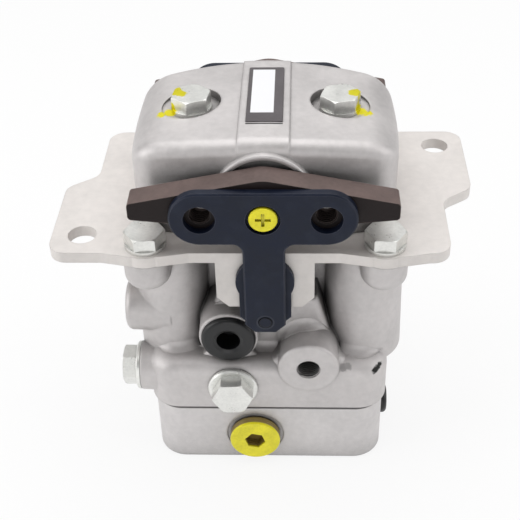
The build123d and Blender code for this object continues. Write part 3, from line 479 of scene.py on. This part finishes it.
def zinc_plate():
    """Zinc-plated sheet steel, satin, with faint rolling lines."""
    finish = Finish("zinc_plate", metallic=0.15, roughness=0.52)
    level = start_colour(finish, zinc_colour, scale=24.0, amount=0.035)
    # Painted shade in corners, from ambient occlusion
    finish.paint(finish.crevices(0.008, deep=0.2, bare=0.7), shade(zinc_colour, 0.5), strength=0.35)
    finish.roughen(level, low=0.46, high=0.6)
    finish.raise_by(finish.noise(900.0, 3.0, stretch=(0.12, 1.0, 1.0)), 0.00002)
    finish.raise_by(finish.noise(120.0, 2.0), 0.00004)
    finish.soften(radius=0.0007)
    return finish.finish()


def bright_steel(name, colour, roughness, metallic=0.9, dabs=()):
    """Plated or ground steel or bronze for bolts, plugs and inner pieces."""
    finish = Finish(name, metallic, roughness)
    level = start_colour(finish, colour, scale=90.0, amount=0.05)
    # Painted shade in corners, from ambient occlusion
    finish.paint(finish.crevices(0.004, deep=0.15, bare=0.7), shade(colour, 0.35), strength=0.5)
    for point, reach, paint in dabs:
        finish.dab(point, reach, paint)
    finish.roughen(level, low=roughness - 0.06, high=roughness + 0.1)
    finish.raise_by(finish.noise(1300.0, 2.0), 0.000025)
    finish.soften(radius=0.0005)
    return finish.finish()


def yellow_lacquer(name, node=None):
    """Thin yellow lacquer, worn at the rims; on a plug it covers the face only."""
    finish = Finish(name, metallic=0.3, roughness=0.34, coat=0.3)
    level = start_colour(finish, yellow_colour, scale=110.0, amount=0.06)
    worn = finish.times(finish.edges(radius=0.0004), finish.spread(finish.noise(350.0, 4.0), 0.45, 0.6))
    finish.paint(worn, yellow_worn_colour, strength=0.5)
    if node:
        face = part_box(node)[0].y
        bare = finish.spread(finish.axis_value("Y"), face + lacquer_full, face + lacquer_end)
        finish.paint(bare, brass_colour)
        turns = finish.calc("SINE", finish.times(finish.axis_value("Y"), tau / thread_pitch))
        finish.raise_by(finish.times(turns, bare), 0.00012)
    # Painted shade in corners and the socket, from ambient occlusion
    finish.paint(finish.crevices(0.003, deep=0.1, bare=0.6), yellow_crevice_shade_colour, strength=0.65)
    finish.roughen(level, low=0.28, high=0.42)
    finish.raise_by(finish.noise(800.0, 3.0), 0.00003)
    finish.soften(radius=0.0004)
    return finish.finish()


def brown_forging():
    """Phosphated forging with a dry oil film; painted shade darkens its front and back and its bolt holes.
    """
    finish = Finish("brown_forging", metallic=0.15, roughness=0.5, specular=0.3)
    level = start_colour(finish, lever_top_colour, scale=55.0, amount=0.10)
    # Painted shade: faces turned to the front and back take the dark colour
    finish.paint(finish.spread(finish.facing("Y"), 0.5, 0.9), lever_shade_and_mottle_colour)
    # Random darker mottling in the same dark colour
    finish.paint(finish.noise(75.0, 4.0), lever_shade_and_mottle_colour, strength=0.25)
    # Lighter edges: wear, and a painted highlight along them
    finish.paint(finish.edges(radius=0.0007), lever_edge_wear_and_highlight_colour, strength=0.6)
    # Painted shade in the lever's corners, from ambient occlusion
    finish.paint(finish.crevices(0.006, deep=0.1, bare=0.7), lever_crevice_shade_colour, strength=0.6)
    holes = mounts["front_lever_holes"]
    half, height = holes["dims"]["spacing_x_mm"] / 2000, holes["pos_m"][2]
    # Painted shade: a dark ring round the mouth of each pedal bolt hole and over its thread
    for x in (-half, half):
        rim = finish.ring((x, height), lever_hole_ring, lever_hole_width)
        finish.paint(rim, lever_hole_shade_colour, strength=0.5)
    finish.roughen(level, low=0.42, high=0.6)
    finish.raise_by(finish.noise(1100.0, 4.0), 0.00004)
    finish.raise_by(finish.noise(160.0, 3.0), 0.00007)
    finish.soften(radius=0.0006)
    return finish.finish()


def black_oxide():
    """Blue-black oxide coat on pressed steel, rubbed at the edges, with the riveted pin's ring."""
    finish = Finish("black_oxide", metallic=0.2, roughness=0.45, specular=0.35)
    level = start_colour(finish, arm_colour, scale=70.0, amount=0.1)
    # Random bluish bloom of the oxide, partly a painted sheen
    finish.paint(finish.spread(finish.noise(95.0, 5.0), 0.5, 0.75), arm_bloom_and_sheen_colour, strength=0.2)
    finish.paint(finish.edges(radius=0.0006), arm_edge_colour, strength=0.5)
    low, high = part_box("front_drive_pin")
    pin = ((low.x + high.x) / 2, (low.z + high.z) / 2)
    seam = finish.ring(pin, (high.x - low.x) / 2, pin_seam_width)
    finish.paint(seam, pin_seam_colour, strength=0.8)
    finish.paint(finish.ring(pin, pin_rub_radius, pin_rub_width), pin_rub_colour, strength=0.35)
    finish.raise_by(seam, -0.0002)
    finish.roughen(level, low=0.36, high=0.55)
    finish.raise_by(finish.noise(1400.0, 4.0), 0.00003)
    finish.raise_by(finish.noise(130.0, 2.0), 0.00005)
    finish.soften(radius=0.0005)
    return finish.finish()


def black_rubber():
    """Moulded rubber with a faint bloom."""
    finish = Finish("black_rubber", metallic=0.0, roughness=0.38)
    level = start_colour(finish, rubber_colour, scale=80.0, amount=0.15)
    finish.roughen(level, low=0.3, high=0.45)
    finish.raise_by(finish.noise(1800.0, 2.0), 0.00002)
    finish.soften(radius=0.0004)
    return finish.finish()


def label_plate():
    """Name plate with a dark printed border round a blank field."""
    finish = Finish("label_plate", metallic=0.1, roughness=0.4)
    low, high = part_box("name_plate")
    across, along = finish.axis_value("X"), finish.axis_value("Y")
    left, right = low.x + label_left, high.x - label_right
    front, back = low.y + label_front, high.y - label_back
    inside = finish.times(finish.spread(across, left, left + label_soft),
                          finish.spread(across, right, right - label_soft))
    inside = finish.times(inside, finish.spread(along, front, front + label_soft))
    inside = finish.times(inside, finish.spread(along, back, back - label_soft))
    start_colour(finish, label_edge_colour, scale=60.0, amount=0.06)
    finish.paint(inside, label_blank_colour)
    finish.raise_by(finish.noise(600.0, 2.0), 0.00001)
    finish.raise_by(inside, 0.00004)
    return finish.finish()


def fibre_gasket():
    finish = Finish("fibre_gasket", metallic=0.0, roughness=0.8)
    start_colour(finish, gasket_colour, scale=200.0, amount=0.15)
    finish.raise_by(finish.noise(1600.0, 4.0), 0.00005)
    return finish.finish()


def paint_dabs():
    """Yellow checking marks on and beside the housing bolts: place, reach and colour."""
    level = {"head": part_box("housing_bolts")[1].z, "washer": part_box("bolt_washers")[1].z}
    return [((x, y, level[on] + rise), reach, yellow_colour) for on, x, y, rise, reach in bolt_marks]


def casting_dabs():
    """Painted shade of a small void in the casing, and two darker grey patches: place, reach and colour."""
    dabs = []
    for stop in slit_stops:
        point = tuple(start + run * stop for start, run in zip(slit_start, slit_run))
        dabs.append((point, slit_reach, dirt_and_shade_colour))
    return dabs + [(point, reach, shade(aluminium_colour, tone)) for point, reach, tone in darker_patches]


def thread(name, body, mouth, axis, radius, length):
    """Helical ridge inside an open threaded hole, from its mouth inwards."""
    steps = int(length / thread_pitch * thread_steps)
    out = Vector(axis).normalized()
    side = out.orthogonal().normalized()
    other = out.cross(side)
    centre = Vector(mouth)
    root, crest = radius + thread_sink, radius - thread_depth
    section = ((root, -thread_root_half), (crest, -thread_crest_half),
               (crest, thread_crest_half), (root, thread_root_half))
    vertices, faces = [], []
    for i in range(steps + 1):
        angle = tau * i / thread_steps
        depth = thread_pitch * i / thread_steps
        radial = side * cos(angle) + other * sin(angle)
        for reach, shift in section:
            vertices.append(centre + radial * reach - out * (depth + (0.5 + shift) * thread_pitch))
    for i in range(steps):
        for k in range(4):
            a, b = 4 * i + k, 4 * i + (k + 1) % 4
            faces.append((a, b, b + 4, a + 4))
    faces.append((3, 2, 1, 0))
    faces.append(tuple(4 * steps + k for k in range(4)))
    mesh = bpy.data.meshes.new(name)
    mesh.from_pydata([tuple(v) for v in vertices], [], faces)
    shade_smooth(mesh)
    piece = place_object(name, mesh)
    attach(piece, body)
    return piece


def make_threads(materials):
    """Threads in the lever's pedal bolt holes and in the open ports."""
    for end in ("front", "rear"):
        mount = mounts[f"{end}_lever_holes"]
        half = mount["dims"]["spacing_x_mm"] / 2000
        low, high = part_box(f"{end}_lever")
        for side, x in (("left", -half), ("right", half)):
            mouth = (x, mount["pos_m"][1], mount["pos_m"][2])
            piece = thread(f"{end}_lever_thread_{side}", f"{end}_pedal_lever", mouth, mount["axis"],
                           mount["dims"]["hole_r_mm"] / 1000, high.y - low.y - 2 * thread_pitch)
            piece.data.materials.append(materials["lever"])
    for name, mount in mounts.items():
        if mount["kind"] != "threaded_hole":
            continue
        length = mount["dims"]["length_mm"] / 1000
        out = Vector(mount["axis"])
        mouth = Vector(mount["pos_m"]) + out * length / 2
        piece = thread(f"{name}_thread", "valve_body", mouth, out, mount["dims"]["r_mm"] / 1000,
                       length - 2 * thread_pitch)
        piece.data.materials.append(materials["block" if "output" in name else "cast"])


def tube(name, rings, material, turned=False):
    """Closed mesh through rings of points in millimetres; turned puts it at the rear end."""
    side = -1 if turned else 1
    vertices = [(side * x / 1000, side * y / 1000, z / 1000) for ring in rings for x, y, z in ring]
    count = len(rings[0])
    faces = []
    for i in range(len(rings) - 1):
        for k in range(count):
            a, b = i * count + k, i * count + (k + 1) % count
            faces.append((a, b, b + count, a + count))
    faces.append(tuple(reversed(range(count))))
    faces.append(tuple((len(rings) - 1) * count + k for k in range(count)))
    mesh = bpy.data.meshes.new(name)
    mesh.from_pydata(vertices, [], faces)
    shape = bmesh.new()
    shape.from_mesh(mesh)
    bmesh.ops.recalc_face_normals(shape, faces=shape.faces)
    shape.to_mesh(mesh)
    shape.free()
    shade_smooth(mesh, fillet_smooth_angle)
    mesh.materials.append(material)
    piece = place_object(name, mesh)
    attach(piece, "valve_body")


def tapered(kind, inward):
    """Fillet radius at a share of its length in from the end where it runs out."""
    taper = tapers[kind]
    return taper.largest * smooth_step(inward * taper.growth) + taper.least


def fillet_ring(corner, up, out, radius):
    """Section of a hollow fillet in the corner between a wall along up and a floor along out."""
    corner, up, out = Vector(corner), Vector(up), Vector(out)
    centre = corner + (up + out) * radius
    ring = []
    for share in shares(fillet_steps):
        angle = share * pi / 2
        ring.append(centre - out * radius * cos(angle) - up * radius * sin(angle))
    ring.append(corner + out * radius - up * fillet_sink)
    ring.append(corner - (up + out) * fillet_sink)
    ring.append(corner + up * radius - out * fillet_sink)
    return [tuple(point) for point in ring]


def shoulder_height(y):
    """Height of the casing's shoulder at a place between its flat top and its front."""
    past = abs(y) - (shoulder_front - shoulder_rounding)
    if past <= 0:
        return shoulder_top
    past = min(past, shoulder_rounding)
    return shoulder_start + (shoulder_rounding ** 2 - past ** 2) ** 0.5


def column_radius_at(side, z):
    share = (z - shoulder_start) / (column_top - shoulder_start)
    return foot_radius[side] + (column_top_radius - foot_radius[side]) * share


def pad_foot_fillet(name, material, turned):
    """Fillet where the pad's front stands on the shoulder."""
    rings = []
    for share in shares(tapers["pad"].steps):
        radius = tapered("pad", min(share, 1 - share))
        x = pad_half_width * (2 * share - 1)
        corner = (x, -pad_front + fillet_overlap, shoulder_top - fillet_overlap)
        rings.append(fillet_ring(corner, (0, 0, 1), (0, -1, 0), radius))
    tube(name, rings, material, turned)


def column_foot_fillet(name, side, material, turned):
    """Fillet round the part of a column's foot that stands on the shoulder."""
    sign = -1 if side == "left" else 1
    rings = []
    for share in shares(tapers["column"].steps):
        angle = radians(-90 + sign * (column_fillet_start + column_fillet_sweep * share))
        radius = tapered("column", min(share, 1 - share))
        wall = column_radius_at(side, shoulder_top + radius) - fillet_overlap
        out = (cos(angle), sin(angle), 0)
        x = sign * column_across + wall * out[0]
        y = -column_along + wall * out[1]
        floor = shoulder_height(y - radius * fillet_lean) - fillet_overlap
        rings.append(fillet_ring((x, y, floor), (0, 0, 1), out, radius))
    tube(name, rings, material, turned)


def boss_root_fillet(name, boss, kind, angles, material):
    """Fillet round a front boss where it stands on the pad."""
    start, end = angles
    rings = []
    for share in shares(tapers[kind].steps):
        angle = radians(start + (end - start) * share)
        out = (cos(angle), 0, sin(angle))
        wall = boss.radius + boss_skin
        corner = (boss.across + wall * out[0], -pad_front, boss.height + wall * out[2])
        rings.append(fillet_ring(corner, (0, -1, 0), out, tapered(kind, min(share, 1 - share))))
    tube(name, rings, material)


def boss_side_fillet(name, boss, side, material):
    """Fillet along a boss's flank where it lies on the shoulder."""
    rings = []
    for share in shares(tapers["flank"].steps):
        y = -pad_front + boss_overlap - share * (boss.face - pad_front - flank_stop)
        floor = shoulder_height(y)
        drop = min(1.0, abs(floor - boss.height) / boss.radius)
        flank = boss.radius * (1 - drop ** 2) ** 0.5
        corner = (boss.across + side * (flank - fillet_overlap), y, floor - fillet_overlap)
        rings.append(fillet_ring(corner, (0, 0, 1), (side, 0, 0), tapered("flank", 1 - share)))
    tube(name, rings, material)


def saddle(name, boss, material):
    """Metal that fills the wedge between the capped boss and the shoulder below it."""
    rings = []
    for share in shares(tapers["saddle"].steps):
        y = -pad_front + boss_overlap - share * (boss.face - pad_front - saddle_stop)
        floor = shoulder_height(y) - saddle_sink
        radius = tapered("saddle", 1 - share)
        rise = boss.height - floor - radius
        reach = max(0.0, (boss.radius + radius) ** 2 - rise ** 2) ** 0.5
        lean = atan2(rise, reach)
        hollow = []
        for k in range(fillet_steps + 1):
            turn = (pi - lean) + (pi / 2 + lean) * k / fillet_steps
            hollow.append((reach + radius * cos(turn), floor + radius + radius * sin(turn)))
        ring = [(boss.across + x, y, z) for x, z in hollow]
        ring += [(boss.across + x, y, floor - fillet_sink) for x in (reach, -reach)]
        ring += [(boss.across - x, y, z) for x, z in reversed(hollow)]
        ring += [(boss.across, y, boss.height - boss.radius + saddle_rise)]
        rings.append(ring)
    tube(name, rings, material)


def make_cast_fillets(material):
    """Blends of the casting that the solid casing leaves sharp."""
    for end, turned in (("front", False), ("rear", True)):
        pad_foot_fillet(f"{end}_pad_foot", material, turned)
        for side in ("left", "right"):
            column_foot_fillet(f"{end}_{side}_column_foot", side, material, turned)
    boss_root_fillet("capped_boss_root", capped_boss, "capped_root", capped_root_angles, material)
    boss_root_fillet("open_boss_root", open_boss, "open_root", open_root_angles, material)
    for side, sign in (("left", -1), ("right", 1)):
        boss_side_fillet(f"open_boss_{side}", open_boss, sign, material)
    saddle("capped_boss_saddle", capped_boss, material)


def make_coils():
    """Springs: each CAD spring's mesh is copied into an object of its own, and the CAD spring is hidden."""
    for stage in ("front_left", "front_right", "rear_left", "rear_right"):
        for kind, share in (("return_spring", 0.0), ("metering_spring", spool_share)):
            node = f"{stage}_{kind}"
            coil = place_object(f"{node}_coil", nodes[node].data.copy())
            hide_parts(node)
            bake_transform(coil)


def assign_finishes():
    """Give every CAD node its finish, chosen by its material slot and name."""
    marks = paint_dabs()
    materials = {
        "cast": cast_aluminium("cast_casing", aluminium_colour, dabs=casting_dabs()),
        "housing": cast_aluminium("cast_housing", aluminium_colour, dabs=marks, marks=name_plate_line),
        "block": cast_aluminium("machined_block", block_colour, grain=block_grain),
        "plate": zinc_plate(),
        "bolt": bright_steel("plated_steel", bolt_colour, roughness=0.3, metallic=0.75),
        "marked_bolt": bright_steel("marked_steel", bolt_colour, roughness=0.3, metallic=0.75, dabs=marks),
        "steel": bright_steel("ground_steel", steel_colour, roughness=0.32),
        "spring": bright_steel("spring_wire", spring_colour, roughness=0.36),
        "bronze": bright_steel("bush_bronze", bronze_colour, roughness=0.35),
        "yellow": yellow_lacquer("yellow_lacquer"),
        "plug": yellow_lacquer("yellow_plug", "socket_plug"),
        "lever": brown_forging(),
        "arm": black_oxide(),
        "rubber": black_rubber(),
        "label": label_plate(),
        "gasket": fibre_gasket(),
    }
    by_slot = {
        "cast_aluminium": "cast", "machined_block": "block", "zinc_plate": "plate", "plated_bolt": "bolt",
        "marked_bolt": "marked_bolt", "yellow_paint": "yellow", "brown_lever": "lever", "black_arm": "arm",
        "black_rubber": "rubber", "label_plate": "label", "gasket": "gasket", "bronze": "bronze",
        "ground_steel": "steel", "spring_steel": "spring",
    }
    by_node = {"upper_housing": "housing", "bolt_washers": "marked_bolt", "socket_plug": "plug",
               "front_drive_pin": "arm", "rear_drive_pin": "arm"}
    for part in record["subparts"]:
        key = by_node.get(part["node"], by_slot[part["material_slot"]])
        node = nodes[part["node"]]
        node.data.materials.clear()
        node.data.materials.append(materials[key])
    return materials


def empty_tree(owner):
    """Node tree of a material or world with nothing in it."""
    owner.use_nodes = True
    owner.node_tree.nodes.clear()
    return owner.node_tree


def join_shaders(tree, factor, first, second, output):
    """Mix two shaders by a factor and link the result to a new output node."""
    mix = tree.nodes.new("ShaderNodeMixShader")
    out = tree.nodes.new(output)
    for source, socket in ((factor, mix.inputs["Fac"]), (first.outputs[0], mix.inputs[1]),
                           (second.outputs[0], mix.inputs[2]), (mix.outputs[0], out.inputs["Surface"])):
        tree.links.new(source, socket)


def make_floor():
    """Wide pale floor that shows near white and keeps the contact shadow."""
    mesh = bpy.data.meshes.new("studio_floor")
    reach, level = floor_reach, cad_box[0].z - floor_drop
    mesh.from_pydata([(-reach, -reach, level), (reach, -reach, level), (reach, reach, level),
                      (-reach, reach, level)], [], [(0, 1, 2, 3)])
    floor = place_object("studio_floor", mesh)
    material = bpy.data.materials.new("floor_white")
    tree = empty_tree(material)
    diffuse = tree.nodes.new("ShaderNodeBsdfDiffuse")
    diffuse.inputs["Color"].default_value = (floor_albedo, floor_albedo, floor_albedo, 1.0)
    glow = tree.nodes.new("ShaderNodeEmission")
    glow.inputs["Color"].default_value = white
    path = tree.nodes.new("ShaderNodeLightPath")
    seen = tree.nodes.new("ShaderNodeMath")
    seen.operation = "MAXIMUM"
    tree.links.new(path.outputs["Is Camera Ray"], seen.inputs[0])
    tree.links.new(path.outputs["Is Glossy Ray"], seen.inputs[1])
    share = tree.nodes.new("ShaderNodeMath")
    share.operation = "MULTIPLY"
    share.inputs[1].default_value = floor_glow
    tree.links.new(seen.outputs[0], share.inputs[0])
    join_shaders(tree, share.outputs[0], diffuse, glow, "ShaderNodeOutputMaterial")
    mesh.materials.append(material)


def make_world():
    """Even pale surroundings, white behind the object."""
    world = bpy.data.worlds.new("studio_world")
    tree = empty_tree(world)
    soft = tree.nodes.new("ShaderNodeBackground")
    soft.inputs["Color"].default_value = white
    soft.inputs["Strength"].default_value = world_strength
    plain = tree.nodes.new("ShaderNodeBackground")
    plain.inputs["Color"].default_value = white
    path = tree.nodes.new("ShaderNodeLightPath")
    join_shaders(tree, path.outputs["Is Camera Ray"], soft, plain, "ShaderNodeOutputWorld")
    bpy.context.scene.world = world


def make_lights():
    """Square area lamps aimed at the object."""
    for name, (place, size, power) in lamps.items():
        lamp = bpy.data.lights.new(name, "AREA")
        lamp.shape = "SQUARE"
        lamp.size = size
        lamp.energy = power
        holder = place_object(name, lamp)
        holder.location = place
        holder.rotation_euler = (Vector(lamp_target) - Vector(place)).to_track_quat("-Z", "Y").to_euler()


def make_camera():
    """Camera at the photograph's place, turned by azimuth, elevation and roll."""
    turn, tilt, roll = radians(camera_azimuth), radians(camera_elevation), radians(camera_roll)
    back = Vector((sin(turn) * cos(tilt), -cos(turn) * cos(tilt), sin(tilt)))
    right = Vector((cos(turn), sin(turn), 0.0))
    up = back.cross(right)
    rolled_right = cos(roll) * right + sin(roll) * up
    rolled_up = -sin(roll) * right + cos(roll) * up
    matrix = Matrix((rolled_right, rolled_up, back)).transposed().to_4x4()
    matrix.translation = Vector(camera_place)
    data = bpy.data.cameras.new("photo_camera")
    data.sensor_width = sensor_width
    data.lens = sensor_width * focal_pixels / photo_pixels
    data.clip_start = camera_clip
    camera = bpy.data.objects.new("photo_camera", data)
    camera.matrix_world = matrix
    bpy.context.scene.collection.objects.link(camera)
    bpy.context.scene.camera = camera


def main():
    materials = assign_finishes()
    for node in nodes.values():
        shade_smooth(node.data, node_smooth_angle)
    make_threads(materials)
    make_cast_fillets(materials["cast"])
    make_coils()
    make_floor()
    make_world()
    make_lights()
    make_camera()
    bpy.context.scene.view_settings.view_transform = "Standard"


main()
